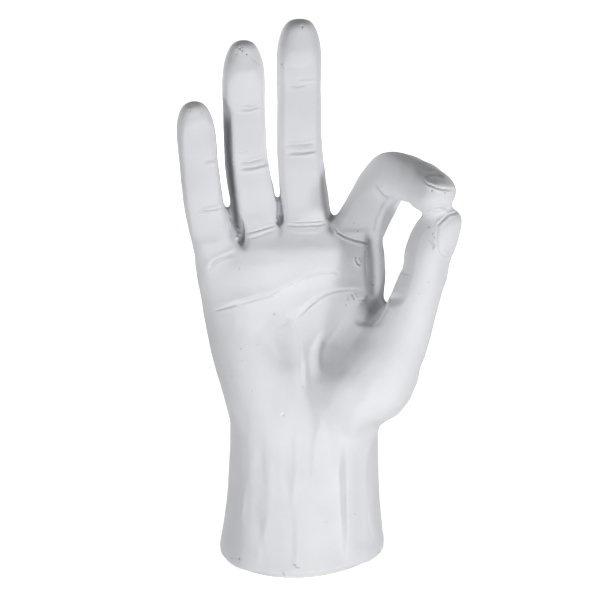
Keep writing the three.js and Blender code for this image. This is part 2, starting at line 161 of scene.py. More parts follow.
class Clay:
    """A mesh whose points are worked as one array, in millimetres.

    Strokes are placed in a view: the photograph's picture, in pixels, or the back, where
    a place is x and z in millimetres."""

    # A step towards the neighbours and a longer one back, which together keep the volume
    SMOOTHING = (0.5, -0.52)
    # Surface that turns away further than this from the eye takes no stroke
    GRAZING = 0.05

    def __init__(self, obj, view="front"):
        self.mesh = obj.data
        self.points = positions(self.mesh)
        self.pairs = edges(self.mesh)
        self.count = np.bincount(self.pairs.ravel(), minlength=len(self.points))
        self.view = view
        self.look()

    def look(self, view=None):
        """Takes new normals and places in the view from the points."""
        self.view = view or self.view
        set_positions(self.mesh, self.points)
        self.normals = normals(self.mesh)
        if self.view == "back":
            self.place, self.depth = self.points[:, [0, 2]], -self.points[:, 1]
            self.facing = self.normals[:, 1]
            return
        self.place, self.depth = seen_at(self.points)
        sight = self.points - EYE
        sight /= np.linalg.norm(sight, axis=1)[:, None]
        self.facing = -np.einsum("ij,ij->i", sight, self.normals)

    def relax(self, rounds, weight=1.0):
        """Takes out facets and keeps the volume."""
        for _ in range(rounds):
            for step in self.SMOOTHING:
                drift = toward_neighbours(self.points, self.pairs, self.count)
                self.points += drift * step * np.reshape(weight, (-1, 1))
        self.look()

    def fill_corners(self, rounds, weight):
        """Rounds inner corners only, as a fillet does."""
        for turn in range(rounds):
            if turn % 10 == 0:
                self.look()
            drift = toward_neighbours(self.points, self.pairs, self.count)
            outward = np.einsum("ij,ij->i", drift, self.normals)
            move = np.maximum(outward, 0) * 0.8 * weight
            self.points += self.normals * move[:, None]
        self.look()

    def near(self, middle, radius):
        """1 at the middle, falling to 0 at the radius."""
        away = np.linalg.norm(self.points - np.array(middle), axis=1)
        return smooth_step(1 - away / radius)

    def pull(self, middle, radius, way):
        """Moves the points round a middle by way, less and less towards the radius."""
        self.points += self.near(middle, radius)[:, None] * np.array(way, float)
        self.look()

    def visible(self, picked):
        return smooth_step((self.facing[picked] - self.GRAZING) / 0.3)

    def raise_by(self, picked, amount):
        self.points[picked] += self.normals[picked] * amount[:, None]

    def inside(self, low, high, margin):
        """The points whose place is in a box of the view, as a list of their numbers."""
        x, y = self.place[:, 0], self.place[:, 1]
        return np.nonzero(
            (x > low[0] - margin) & (x < high[0] + margin)
            & (y > low[1] - margin) & (y < high[1] + margin)
            & (self.facing > self.GRAZING)
        )[0]

    def swell(self, x, y, wide, high, rise, turn=0.0):
        """A soft rise or hollow."""
        c, s = math.cos(math.radians(turn)), math.sin(math.radians(turn))
        picked = self.inside((x, y), (x, y), 2.6 * max(wide, high))
        dx, dy = (self.place[picked] - (x, y)).T
        u, v = (dx * c + dy * s) / wide, (dy * c - dx * s) / high
        self.raise_by(picked, rise * np.exp(-u * u - v * v) * self.visible(picked))

    def line_at(self, line, picked):
        """Distance of points from a line in the view, side of it and share along it."""
        line = np.array(line, float)
        lengths = np.linalg.norm(np.diff(line, axis=0), axis=1)
        total = lengths.sum()
        place = self.place[picked]
        best = np.full(len(place), 1e9)
        side = np.zeros(len(place))
        share = np.zeros(len(place))
        walked = 0.0
        for start, end, length in zip(line[:-1], line[1:], lengths):
            along = (end - start) / length
            offset = place - start
            run = np.clip(offset @ along, 0, length)
            gap = offset - run[:, None] * along
            away = np.hypot(gap[:, 0], gap[:, 1])
            closer = away < best
            best[closer] = away[closer]
            across = offset[:, 1] * along[0] - offset[:, 0] * along[1]
            side[closer] = np.sign(across[closer])
            share[closer] = (walked + run[closer]) / total
            walked += length
        return best, side, share

    def around(self, line, margin):
        """The visible points near a line."""
        line = np.array(line, float)
        return self.inside(line.min(0), line.max(0), margin)

    def groove(self, line, depth, width, lip=0.25, left=0.0, right=0.0, reach=6.0, ends=0.3):
        """A crease along a line, with soft lips; a negative depth makes a ridge.

        left and right lift the surface on each side as one walks along the line, less and
        less over reach. ends is the share of the line over which it fades out."""
        picked = self.around(line, max(2.5 * reach if left or right else 0, 6 * width))
        away, side, share = self.line_at(line, picked)
        fade = fade_ends(share, ends) * self.visible(picked)
        cut = -depth * bell(away, width)
        edge = depth * lip * bell(away - 2.2 * width, 1.3 * width)
        lift = np.where(side < 0, left, right) * bell(away, reach)
        self.raise_by(picked, (cut + edge + lift * smooth_step(away / width)) * fade)

    def plane_off(self, first, second, strength, outline=False, ends=0.12):
        """Planes the surface flat between two lines, as a knife does.

        The lines give across at heights down. Points keep their place in the picture and
        move along the line of sight. outline says that the first line is an outline."""
        first, second = np.array(first, float), np.array(second, float)
        top = max(first[0, 1], second[0, 1])
        bottom = min(first[-1, 1], second[-1, 1])
        across, down = self.place[:, 0], self.place[:, 1]
        a = np.interp(down, first[:, 1], first[:, 0])
        b = np.interp(down, second[:, 1], second[:, 0])
        share = (across - a) / np.where(np.abs(b - a) < 0.5, 0.5 * np.sign(b - a + 1e-9), b - a)
        inside = (down > top) & (down < bottom) & (self.facing > -0.2)
        row_height, near_line, near_outline, edge_on = 3.0, 1.5, 4, 0.15
        rows = int((bottom - top) / row_height) + 1

        def depth_of(picked, values=self.depth):
            row = ((down[picked] - top) / row_height).astype(int)
            total = np.bincount(row, weights=values[picked], minlength=rows)
            count = np.bincount(row, minlength=rows)
            seen = np.nonzero(count)[0]
            filled = np.interp(np.arange(rows), seen, total[seen] / count[seen])
            soft = np.convolve(np.pad(filled, 2, "edge"), np.ones(5) / 5, "valid")
            return np.interp(down, top + row_height * (np.arange(rows) + 0.5), soft)

        if outline:
            edge = inside & (np.abs(self.facing) < edge_on) & (np.abs(across - a) < near_outline)
            start = depth_of(edge)
            a = depth_of(edge, across)
            share = (across - a) / (b - a)
        else:
            start = depth_of(inside & (self.facing > 0.1) & (np.abs(across - a) < near_line))
        end = depth_of(inside & (self.facing > 0.1) & (np.abs(across - b) < near_line))
        wanted = start + (end - start) * np.clip(share, 0, 1)
        fade = smooth_step((down - top) / ((bottom - top) * ends))
        fade = fade * smooth_step((bottom - down) / ((bottom - top) * ends))
        picked = inside & (share > 0) & (share < 1) & (self.facing > 0)
        move = np.where(picked, wanted - self.depth, 0) * fade * strength
        self.points += (self.points - EYE) * (move / self.depth)[:, None]

    def plate(self, outline, rise, edge):
        """A thin raised plate with a crisp edge, such as a nail."""
        line = np.array(outline + outline[:1], float)
        picked = self.around(line, 2 * edge)
        away, _, _ = self.line_at(line, picked)
        x, y = self.place[picked].T
        within = np.zeros(len(x), bool)
        for (x0, y0), (x1, y1) in zip(line[:-1], line[1:]):
            if y1 != y0:
                crosses = (y0 > y) != (y1 > y)
                within ^= crosses & (x < (x1 - x0) * (y - y0) / (y1 - y0) + x0)
        height = smooth_step(np.where(within, away, -away) / edge + 0.5)
        self.raise_by(picked, rise * height * self.visible(picked))

    def marked(self, lines, spots, reach):
        """True for the points near any of the lines and spots."""
        mark = np.zeros(len(self.points), bool)
        for line in lines:
            picked = self.around(line, reach)
            mark[picked[self.line_at(line, picked)[0] < reach]] = True
        for x, y in spots:
            away = np.hypot(self.place[:, 0] - x, self.place[:, 1] - y)
            mark |= (away < reach) & (self.facing > 0)
        return mark


def divide(obj, picked):
    """Divides the faces whose points are picked, for finer strokes."""
    mesh = obj.data
    mesh.vertices.foreach_set("select", np.zeros(len(mesh.vertices), bool))
    mesh.edges.foreach_set("select", np.zeros(len(mesh.edges), bool))
    corners = np.empty(len(mesh.loops), np.int64)
    mesh.loops.foreach_get("vertex_index", corners)
    starts = np.empty(len(mesh.polygons), np.int64)
    mesh.polygons.foreach_get("loop_start", starts)
    chosen = np.maximum.reduceat(picked[corners].astype(int), starts) > 0
    mesh.polygons.foreach_set("select", chosen)
    alone(obj)
    bpy.ops.object.mode_set(mode="EDIT")
    bpy.ops.mesh.select_mode(type="FACE")
    bpy.ops.mesh.subdivide(number_cuts=1, ngon=False)
    bpy.ops.object.mode_set(mode="OBJECT")


# The casting's skin, taken from the CAD solid without its hollow

MERGE_DISTANCE = 0.00001
UNDERSIDE = 0.0001


def outer_skin(node):
    """A closed copy of the outside of a node that is open underneath."""
    source = frame["nodes"][node]
    copy = source.copy()
    copy.data = source.data.copy()
    bpy.context.scene.collection.objects.link(copy)
    copy.parent = None
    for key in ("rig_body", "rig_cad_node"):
        if key in copy:
            del copy[key]
    copy.name = "cast_hand"
    alone(copy)
    bpy.ops.object.mode_set(mode="EDIT")
    bpy.ops.mesh.select_all(action="SELECT")
    bpy.ops.mesh.remove_doubles(threshold=MERGE_DISTANCE)
    bpy.ops.object.mode_set(mode="OBJECT")
    work = bmesh.new()
    work.from_mesh(copy.data)
    floor = min(vert.co.z for vert in work.verts)
    under = [
        face for face in work.faces if all(v.co.z < floor + UNDERSIDE for v in face.verts)
    ]
    bmesh.ops.delete(work, geom=under, context="FACES_ONLY")
    top = max(work.verts, key=lambda vert: vert.co.z)
    kept = {top}
    to_visit = [top]
    while to_visit:
        vert = to_visit.pop()
        for edge in vert.link_edges:
            other = edge.other_vert(vert)
            if other not in kept:
                kept.add(other)
                to_visit.append(other)
    bmesh.ops.delete(work, geom=[v for v in work.verts if v not in kept], context="VERTS")
    rim = [edge for edge in work.edges if edge.is_boundary]
    bmesh.ops.edgeloop_fill(work, edges=rim)
    bmesh.ops.triangulate(work, faces=work.faces[:])
    bmesh.ops.recalc_face_normals(work, faces=work.faces[:])
    work.to_mesh(copy.data)
    work.free()
    return copy


# First stage: the body with its inner corners filled and smoothed, places in mm

# Middle, radius and share of the fill between the fingers and at the thumb's web
FILLED = [
    ((-41, 4, 160), 12, 0.5), ((-17, 6, 174), 16, 0.8), ((13, 5, 180), 18, 1.0),
    ((44, -8, 162), 16, 0.3),
]
THUMB_WEB = (46, -12, 160)
LITTLE_FINGER_WEB = (-41, 4, 160)
BALL_OF_THUMB = (30, -22, 100)
BALL_AT_WRIST = (31, -20, 72)


def rounded_body():
    """The casting before any tool touched it."""
    body = outer_skin("hand_casting")
    use_modifier(body, "REMESH", mode="VOXEL", voxel_size=ROUGH_VOXEL * MM)
    clay = Clay(body)
    clay.relax(30)
    fill = sum(share * clay.near(middle, radius) for middle, radius, share in FILLED)
    clay.fill_corners(60, np.clip(fill, 0, 1))
    # the web stays narrow, while the ball of the thumb runs into the palm and the wrist
    thumb_web = clay.near(THUMB_WEB, 26)
    clay.fill_corners(220, np.clip(clay.near(BALL_OF_THUMB, 62) * 1.6 - 2.5 * thumb_web, 0, 1))
    clay.fill_corners(160, np.clip(clay.near(BALL_AT_WRIST, 34) * 1.8, 0, 1))
    clay.fill_corners(60, np.clip(0.5 - clay.near(LITTLE_FINGER_WEB, 20) - thumb_web, 0, 1))
    clay.relax(20)
    clay.pull(THUMB_WEB, 15, (-1.5, 0, -6.5))
    clay.relax(6)
    set_positions(body.data, clay.points)
    return body


# Second stage: sides and corners shifted a little, then flats

# Middle in mm, radius, way
# the ring finger's left side goes back, and the middle finger's comes forward
PULLS = [((-39.5, 3, z), 9, (0, 1.3, 0)) for z in range(186, 262, 9)]
PULLS += [((-12, 0, z), 8, (0, -1.3, 0)) for z in range(196, 286, 8)]
# the palm's side below the index finger
PULLS += [((44.5, 2, z), 13, (0, -2.0, 0)) for z in (158, 170, 182)]
# the front corners of the wrist
PULLS += [((33, -14, z), 22, (0.6, -2.6, 0)) for z in (30, 50, 70)]
PULLS += [((-29, -17, z), 22, (-0.4, -1.8, 0)) for z in (30, 50, 70)]
# the ball of the thumb
PULLS += [((38, -27, 88), 22, (0, 3.2, 0))]
# the front corners of the foot
PULLS += [((-31, -18, 3), 34, (-1.2, -3.6, 0)), ((37, -12, 3), 26, (1.0, -4.0, 0))]

# First line, second line, share planed off, whether the first line is an outline
FLATS = [
    # the ring finger's side that faces the little finger
    ([(223, 100), (223.6, 138), (225.2, 162), (228.4, 183), (231.6, 202), (232.7, 216),
      (232.6, 231), (235, 242)],
     [(223.8, 100), (226, 109), (230, 119), (231.8, 138), (232.6, 154), (234.8, 170), (236.4, 202),
      (238.8, 213), (241.2, 224), (243.6, 242)], 0.95, True),
    # the middle finger's two sides near its root
    ([(330, 222), (328.4, 207), (325.2, 186), (322.8, 170), (321.5, 158)][::-1],
     [(324.6, 222), (323.4, 207), (321.4, 186), (320.2, 170), (319.5, 158)][::-1], 0.9, True),
    ([(277.5, 185), (279.5, 195), (281, 210), (282, 224)],
     [(280.5, 185), (283, 195), (284.5, 210), (285.5, 224)], 0.9, True),
    # fronts of the little, ring and middle fingers
    ([(186, 118), (183.6, 138), (183.3, 162), (186.8, 194), (190.8, 223), (195, 247)],
     [(212, 118), (214, 138), (213.5, 157), (216.5, 170), (218.5, 202), (223, 223), (226, 247)],
     0.6, False),
    ([(228, 70), (228, 100), (231, 119), (232.4, 154), (235.6, 186), (238.8, 213), (241, 228)],
     [(261, 70), (261.5, 90), (262.8, 122), (263.8, 154), (269.2, 194), (273.2, 218), (274, 228)],
     0.7, False),
    ([(284, 50), (284, 79), (284, 122), (284, 151), (285, 178), (287, 202), (288, 222)],
     [(317.5, 50), (316, 82), (315.5, 114), (315.5, 151), (317.5, 170), (319.5, 186), (322, 222)],
     0.8, False),
    # the index finger's first bone, seen from the front
    ([(366, 182), (356, 198), (348, 212), (341, 226), (338, 234)],
     [(388, 182), (384, 200), (379, 216), (374, 232), (373, 238)], 0.5, False),
    # the side of the index finger's root and of the palm, which faces the thumb
    ([(397.9, 203), (392, 215.7), (386.4, 231.4), (383.3, 245.7), (383.9, 268.6), (384.3, 290),
      (385.7, 306)],
     [(388, 203), (382, 220), (379, 231), (379, 243), (379.5, 254), (379.5, 268), (380, 280),
      (380, 292), (381, 306)], 0.5, True),
    # the thumb's side that faces the ring
    ([(425, 212), (416.4, 223), (407.9, 240), (406.4, 254), (405, 263), (399.3, 277),
      (393.6, 296), (388, 308)],
     [(431, 212), (426, 229), (419.6, 240), (416, 258), (413, 276), (408, 295),
      (403, 304), (401, 308)], 0.8, True),
    # scraped flats round the wrist
    ([(229.6, 425), (229.5, 480), (228, 510), (222, 535), (221, 546)],
     [(247, 425), (247, 480), (243, 505), (240, 530), (241, 546)], 0.25, True),
    ([(247, 425), (247, 480), (241, 518), (240.6, 552)],
     [(266, 425), (266, 480), (266, 518), (256, 552)], 0.8, False),
    ([(266, 440), (266, 480), (267, 518), (258, 566)],
     [(279, 440), (279, 480), (280, 518), (281.5, 570)], 0.8, False),
    ([(279, 438), (279, 470), (281, 490)], [(293, 438), (293, 470), (290, 490)], 1.0, False),
    ([(281.5, 514), (281.5, 568)], [(293.5, 514), (293.5, 570)], 1.0, False),
    ([(293.5, 430), (293.5, 470), (291, 495), (292, 520), (294, 570)],
     [(311, 430), (311, 480), (314, 530), (315, 570)], 0.7, False),
    ([(311, 430), (311, 480), (314, 530), (315, 570)],
     [(339, 430), (339.5, 480), (340, 530), (338, 570)], 0.8, False),
    ([(347, 440), (347, 480), (347, 530), (346, 562)],
     [(367, 440), (367, 480), (371, 522), (376, 552)], 0.9, False),
    ([(367, 450), (367, 480), (371, 522), (376, 552)],
     [(377, 450), (377.5, 480), (382, 522), (383, 552)], 0.8, False),
]


def with_flats(body):
    """Shifts the sides and planes the flats. Returns the clay, for the next strokes."""
    use_modifier(body, "REMESH", mode="VOXEL", voxel_size=voxel(FORM_VOXEL))
    clay = Clay(body)
    clay.relax(8)
    for middle, radius, way in PULLS:
        clay.pull(middle, radius, way)
    clay.relax(6)
    for first, second, share, outline in FLATS:
        clay.plane_off(first, second, share, outline)
        clay.look()
    return clay


# Third stage: broad forms, unevenness, steps and ridges

# x, y, half width and half height in picture pixels, rise in mm, turn
FORMS = [
    # the pads below the fingers and the band between the palm's lines
    (262, 272, 40, 20, 0.7, 0),
    (308, 256, 28, 20, 0.9, -10),
    (303, 301, 26, 7, 0.8, -36),
    # the pad below the little finger
    (243, 345, 24, 50, 1.6, 8),
    # the hollow of the palm
    (270, 314, 20, 8, -1.2, 24),
    (273, 346, 11, 30, -3.4, -30),
    (301, 372, 6, 24, -1.2, -10),
    # the bowl beside the ball of the thumb, and its lower end
    (336, 334, 15, 20, -2.6, 35),
    (335, 350, 14, 16, -1.9, 0),
    (331, 386, 15, 13, 2.3, 0),
    (352, 314, 20, 12, -1.6, -10),
    # the pocket in the thumb's web
    (374, 306, 12, 11, -3.0, 0),
    # the ball of the thumb
    (391, 366, 26, 34, 1.0, 30),
    (330, 392, 16, 14, 0.8, 0),
    # the palm below the index finger, the furrow there and the strip beside it
    (366, 262, 22, 26, -2.2, 0),
    (370.5, 264, 3.8, 27, -3.0, 0),
    (383, 264, 6.0, 32, 2.6, 0),
    # the corners between the fingers
    (238.5, 229, 4.2, 12, -5.5, -14),
    (240.5, 239, 4.5, 8, -4.5, -14),
    (279.5, 220, 3.2, 12, -3.0, 0),
    (330, 226, 4, 7, -2.0, -20),
    # fronts of the finger tips
    (300.5, 28, 13, 8, 2.4, 0),
    (243.5, 48, 12, 7, 1.9, 0),
    (194, 109, 10, 6, 1.2, 0),
    # the wrist
    (266, 425, 18, 16, 0.6, 0),
    (283, 420, 10, 24, 0.5, 0),
    (318, 408, 6, 28, 0.7, -8),
    (353, 500, 6, 44, 0.5, 0),
    (271, 478, 6, 24, 0.7, 0),
    (249, 535, 7, 16, 0.6, -10),
    (246, 470, 3, 40, -0.5, 0),
    (231, 490, 8, 70, -0.8, 0),
    (374, 436, 3, 14, -1.0, 38),
    (369, 505, 2.5, 44, -0.6, -3),
    (374, 540, 2.0, 16, -0.6, -16),
    (316, 520, 14, 30, 0.5, 0),
]
# Least and most of x, y, half width, half height and rise
SCRAPER_STROKES = (228, 440, 2.5, 9, -0.32), (380, 568, 6, 26, 0.32)
SOFT_DENTS = (180, 24, 2.5, 2.5, -0.14), (460, 440, 7, 7, 0.14)
SCRAPER_STROKE_COUNT = 70
SOFT_DENT_COUNT = 260
SCRAPER_MIDDLE = 305
SCRAPER_LEAN = 0.06  # degrees that a stroke leans for each pixel from the middle

# Line, depth, half width, lip, lift left, lift right, reach
RIDGES = [
    # the heart line and its branch
    ([(208, 311), (215, 307.5), (237, 303), (257, 297.6), (272, 294.3), (287.6, 286.6),
      (303, 277.8), (318.4, 273.4), (329.4, 269), (340, 268)], 0.7, 1.8, 0.2, 1.4, -0.5, 8),
    ([(322, 273), (330, 271), (340, 273)], 0.4, 1.4, 0.2, 0.3, -0.3, 6),
    # the slope from the hollow of the palm to the crest
    ([(278, 309), (292, 319.6), (297.5, 343.8), (304, 361.4), (305.6, 379), (307, 392)],
     0.2, 2.0, 0.0, -0.3, 1.9, 13),
    # the crest round the bowl, and the bowl's wall
    ([(341, 315), (333.8, 321.8), (318.4, 335), (309.6, 348.2), (308.5, 361.4), (311, 380),
      (316, 396)], -0.7, 4.0, 0.0, 0.0, 0.0, 9),
    ([(349, 306), (341, 315), (331.6, 328.4), (322, 341), (318, 352), (317, 364), (319, 380)],
     0.0, 6.0, 0.0, -2.4, 0.3, 18),
    # the line above the bowl
    ([(293.6, 321.8), (307.4, 304), (320.6, 295.4), (338, 290), (356, 288.8), (367, 290)],
     0.7, 1.6, 0.1, 0.9, -0.8, 8),
    # the lower rim of the pocket
    ([(352, 319), (360, 324), (372, 325.5), (385, 322)], 0.0, 3.0, 0.0, -0.8, 1.0, 9),
    # the ball of the thumb runs smoothly into the wrist
    ([(318, 392), (334, 409), (350, 423), (368, 437)], -3.0, 14.0, 0.0, 0.0, 0.0, 6),
    # steps between the scraped flats of the wrist
    ([(342.5, 436), (343, 470), (344, 520), (343, 574)], 0.1, 2.2, 0.0, 2.1, -1.5, 14),
    ([(293, 420), (293.5, 468), (291, 485), (289.5, 520)], 0.1, 2.0, 0.0, 0.4, -0.3, 10),
    ([(293, 500), (294.2, 530), (294, 576)], 0.1, 1.8, 0.0, 0.4, -0.3, 10),
    ([(320, 412), (312.5, 438), (311, 457), (311.5, 486)], 0.1, 2.2, 0.0, 0.4, -0.3, 9),
    ([(268, 508), (262, 530), (254, 562)], 0.0, 2.5, 0.0, 0.2, -0.15, 9),
    ([(380, 423), (373, 434), (364, 446)], 0.2, 2.0, 0.0, 0.4, -0.6, 8),
    # the fold along the side of the index finger
    ([(393, 195), (384, 207), (378, 220), (374, 238)], 1.0, 2.4, 0.0, 0.0, 0.0, 6),
    # the roots of the little and index fingers
    ([(207.9, 270.7), (213.6, 262), (220.7, 258), (229, 255), (238, 250)], 0.5, 2.2, 0.2, 0.9,
     -0.4, 8),
    ([(335, 227), (338, 232.5), (345, 237), (356, 241), (367, 243), (373, 240)], 0.5, 2.2, 0.0,
     0.3, -0.6, 6),
]


def press_forms(clay):
    for form in FORMS:
        clay.swell(*form)
    chance = np.random.default_rng(7)
    for stroke in chance.uniform(*SCRAPER_STROKES, (SCRAPER_STROKE_COUNT, 5)):
        clay.swell(*stroke, (stroke[0] - SCRAPER_MIDDLE) * SCRAPER_LEAN)
    for dent in chance.uniform(*SOFT_DENTS, (SOFT_DENT_COUNT, 5)):
        clay.swell(*dent)
    clay.look()
    for ridge in RIDGES:
        clay.groove(*ridge)
    clay.look()


# The back, in x and z millimetres

KNUCKLES = [(-42, 163, 9), (-20, 175, 10.5), (4, 179, 11), (24, 171, 11)]
WRIST_MIDDLE = (4, 72)
CORD_SHARES = (0.08, 0.4, 0.75, 1.0)  # of the way from a knuckle to the wrist
MIDDLE_JOINTS = [(-51, 202, 7.5, 5), (-28, 222, 8.5, 3), (0, 232, 9, 0)]
END_JOINTS = [(-53, 228, 6.5), (-29, 253, 7.5), (0, 266, 8)]
# Height from the joint, share of its width, depth
WRINKLES = ((-2.6, 0.5, 0.25), (-0.9, 0.7, 0.4), (0.9, 0.75, 0.4), (2.6, 0.5, 0.25))
BACK_NAILS = [(-54.5, 249, 5.0, 6.5), (-29.5, 280, 5.8, 7.5), (0, 290, 6.4, 8.0)]
NAIL_SQUARENESS = 0.7


def shape_back(clay):
    """Knuckles, the dips between them, the cords to the wrist, and the middle joints."""
    clay.look("back")
    for x, z, wide in KNUCKLES:
        clay.swell(x, z, wide * 0.8, wide * 0.75, 1.5)
        cord = [(x + (WRIST_MIDDLE[0] - x) * share, z + (WRIST_MIDDLE[1] - z) * share)
                for share in CORD_SHARES]
        clay.groove(cord, -0.9, 3.2, 0.0)
    for (x0, z0, _), (x1, z1, _) in zip(KNUCKLES[:-1], KNUCKLES[1:]):
        clay.swell((x0 + x1) / 2, (z0 + z1) / 2 - 2, 4.5, 9, -1.4)
    for x, z, wide, turn in MIDDLE_JOINTS:
        clay.swell(x, z, wide, 6, 0.7, turn)
    clay.look("front")


def nail_outline(x, z, wide, high):
    """An oval with full corners."""
    outline = []
    for angle in range(0, 360, 15):
        c, s = math.cos(math.radians(angle)), math.sin(math.radians(angle))
        outline.append((
            x + wide * math.copysign(abs(c) ** NAIL_SQUARENESS, c),
            z + high * math.copysign(abs(s) ** NAIL_SQUARENESS, s),
        ))
    return outline


def draw_back_lines(clay):
    """Wrinkles over the joints, and the nails of the three upright fingers."""
    clay.look("back")
    for x, z, wide, turn in MIDDLE_JOINTS:
        tilt = math.radians(turn)
        for rise, share, depth in WRINKLES:
            half = wide * share
            start = (x - half, z + rise * 1.3 - half * tilt)
            end = (x + half, z + rise * 1.3 + half * tilt)
            clay.groove([start, (x, z + rise), end], depth, 0.5, 0.5)
    for x, z, wide in END_JOINTS:
        half = wide * 0.6
        for rise in (-0.8, 0.8):
            line = [(x - half, z + rise), (x, z + rise * 1.2), (x + half, z + rise)]
            clay.groove(line, 0.25, 0.5, 0.4)
    for nail in BACK_NAILS:
        outline = nail_outline(*nail)
        clay.plate(outline, 0.35, 0.7)
        # the fold of skin round the nail's root and sides
        clay.groove(outline[11:24] + outline[:2], 0.35, 0.6, 0.5, ends=0.1)
    clay.look("front")


# A hand-finished surface is never quite even: width and rise of its soft waves, in mm

WAVES = ((11.0, 0.55), (3.2, 0.12))


def add_waves(body):
    waves = bpy.data.textures.new("hand_smoothed_waves", "CLOUDS")
    for size, rise in WAVES:
        waves.noise_scale = size * MM
        use_modifier(
            body, "DISPLACE", texture=waves, texture_coords="LOCAL", strength=rise * MM,
            mid_level=0.5,
        )
    bpy.data.textures.remove(waves)


# Fourth stage: fine lines, places in picture pixels

# Line, depth in mm, half width in pixels, lip, lift left, lift right
CREASES = [
    # the little finger
    ([(203, 163), (209, 161.6), (218, 159.6)], 0.65, 1.1, 0.5),
    ([(196, 210), (205, 210.6), (213, 209.8), (223, 207.5)], 0.65, 1.1, 0.5),
    ([(202, 206.5), (212, 205), (219, 204)], 0.25, 1.0, 0.4),
    ([(207.9, 270.7), (213.6, 262), (220.7, 258), (229, 255), (236, 252)], 0.7, 1.5, 0.5,
     0.3, -0.1),
    # the ring finger
    ([(238, 109.5), (249, 109.5), (262, 106)], 0.65, 1.0, 0.5),
    ([(243, 105.5), (252, 105.5), (262, 103.5)], 0.3, 0.8, 0.4),
    ([(236, 152), (243, 152), (250, 150.5)], 0.3, 0.8, 0.3),
    ([(238, 163), (250, 162), (267, 157.5)], 0.6, 0.9, 0.5),
    ([(238, 169.5), (255, 167.5), (272, 162.5)], 1.0, 1.2, 0.6),
    ([(244, 233.8), (258, 230.5), (268, 227.5), (277, 224.5)], 0.75, 1.0, 0.3),
    ([(244, 239.5), (258, 236), (268, 232), (279, 228.5)], 0.3, 1.1, 0.3, 0.1, -0.1),
    # the middle finger
    ([(289, 86.3), (298, 86.3), (307, 85.6)], 0.55, 1.0, 0.4),
    ([(296, 81.5), (308, 80.5), (319, 80)], -0.5, 1.2, 0.0),
    ([(284, 148), (300, 148.5), (316, 147)], -0.55, 1.6, 0.0),
    ([(285, 145), (302, 144.5), (316, 143.5)], 0.5, 0.9, 0.5),
    ([(286, 153.2), (303, 152.8), (319, 150.4)], 1.0, 1.2, 0.6),
    ([(288, 222.6), (303, 222), (326, 220.6)], 0.5, 0.8, 0.4),
    ([(284, 225), (300, 225.8), (318, 225.2), (329, 222.5)], 0.75, 1.0, 0.3),
    ([(283.6, 228.5), (300, 231.5), (316, 231), (328, 226.5)], -0.35, 2.2, 0.0),
    # the index finger's root and bend, and the thumb's side
    ([(335, 226.5), (338, 232.5), (345, 237), (356, 241), (367, 243), (373, 241.5)],
     1.8, 0.9, 0.2, 0.1, -0.2),
    ([(375, 182.5), (380, 190), (384, 195), (393, 198.5), (398, 201)], 0.9, 1.3, 0.4),
    ([(400, 272), (404, 273), (410, 274)], 0.2, 1.0, 0.4),
    # the palm's lines and the scribbles beside the pocket
    ([(213, 310.5), (220, 309.3), (229, 306.8), (240, 304)], 0.5, 1.0, 0.5),
    ([(236, 305), (252, 300.6), (269.3, 296), (283.6, 289.6)], 0.6, 1.1, 0.3),
    ([(290, 287), (303, 279), (318.4, 274.6), (330, 270.4)], 0.5, 1.0, 0.3),
    ([(322, 274.6), (330, 272.6), (340, 274)], 0.4, 1.0, 0.3),
    ([(293, 321.5), (300.7, 315), (309.3, 306.4), (317.9, 299.3), (327.9, 293.6),
      (337.9, 290.7), (349.3, 289.3), (361, 289.5)], 0.7, 1.0, 0.4),
    ([(345, 302), (351, 297), (359, 290)], 0.5, 0.9, 0.9),
    ([(351.5, 293), (355.8, 300.6)], 0.5, 0.9, 0.9),
    ([(355.5, 300), (368, 299)], 0.3, 0.9, 0.6),
    ([(357, 256.5), (356.6, 261), (358.5, 264), (361.5, 264.5)], 0.6, 0.9, 0.9),
    # where the two tips meet, and round their nails
    ([(424, 212), (432, 208.8), (440, 207.6), (450, 210)], 0.9, 1.1, 0.5),
    ([(436.5, 226), (442, 221), (449, 214.8), (458.5, 212)], 0.9, 1.0, 0.5, 0.4, -0.2),
    ([(437, 230), (436.4, 238), (438, 247), (442, 254)], 0.3, 1.0, 0.4, -0.1, 0.1),
    ([(442, 254), (447, 257), (452.5, 254.5)], 0.35, 1.0, 0.5),
    ([(423, 180.5), (428, 184.2), (435, 187.3), (442, 189.4), (449, 189.8), (455, 188.4)],
     0.8, 0.9, 0.5),
    ([(427, 173.5), (430.7, 171.6), (439.3, 172.4), (447, 176)], -0.4, 1.2, 0.0),
]
